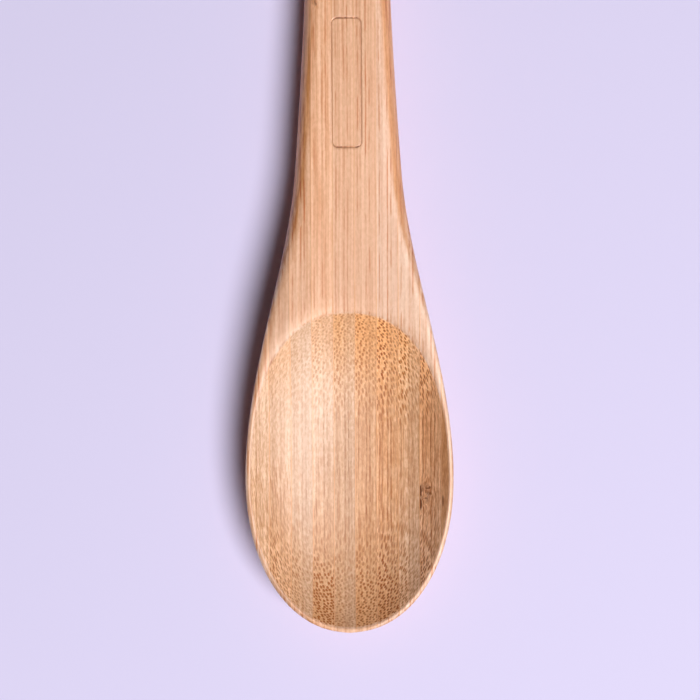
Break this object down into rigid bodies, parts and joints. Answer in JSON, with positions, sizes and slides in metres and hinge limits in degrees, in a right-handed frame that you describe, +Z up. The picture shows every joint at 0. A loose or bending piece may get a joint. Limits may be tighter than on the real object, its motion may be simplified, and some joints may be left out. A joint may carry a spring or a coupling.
{
  "type": "laminated bamboo cooking spoon",
  "caption": "Long-handled cooking spoon carved from bamboo strips glued side by side, with an oval open bowl and a flat tapering handle.",
  "frame": {"origin": "on the table under the middle of the spoon's box", "axes": "+Y along the spoon from the bowl's tip to the handle's end, +Z up out of the open bowl, +X to the right with the tip towards the viewer"},
  "size_m": [0.0596, 0.3, 0.0194],
  "materials": {
    "bamboo_pale": "fine sanded, lightly oiled",
    "bamboo_honey": "fine sanded, lightly oiled",
    "bamboo_amber": "fine sanded, lightly oiled",
    "glue_line": "cured adhesive, sanded flush"
  },
  "bodies": {
    "root": {"bamboo_strip_01": "bamboo_pale", "bamboo_strip_02": "bamboo_honey", "bamboo_strip_03": "bamboo_pale", "bamboo_strip_04": "bamboo_honey", "bamboo_strip_05": "bamboo_pale", "bamboo_strip_06": "bamboo_honey", "bamboo_strip_07": "bamboo_amber", "bamboo_strip_08": "bamboo_pale", "bamboo_strip_09": "bamboo_amber", "bamboo_strip_10": "bamboo_honey", "glue_line_01": "glue_line", "glue_line_02": "glue_line", "glue_line_03": "glue_line", "glue_line_04": "glue_line", "glue_line_05": "glue_line", "glue_line_06": "glue_line", "glue_line_07": "glue_line", "glue_line_08": "glue_line", "glue_line_09": "glue_line"}
  },
  "joints": []
}
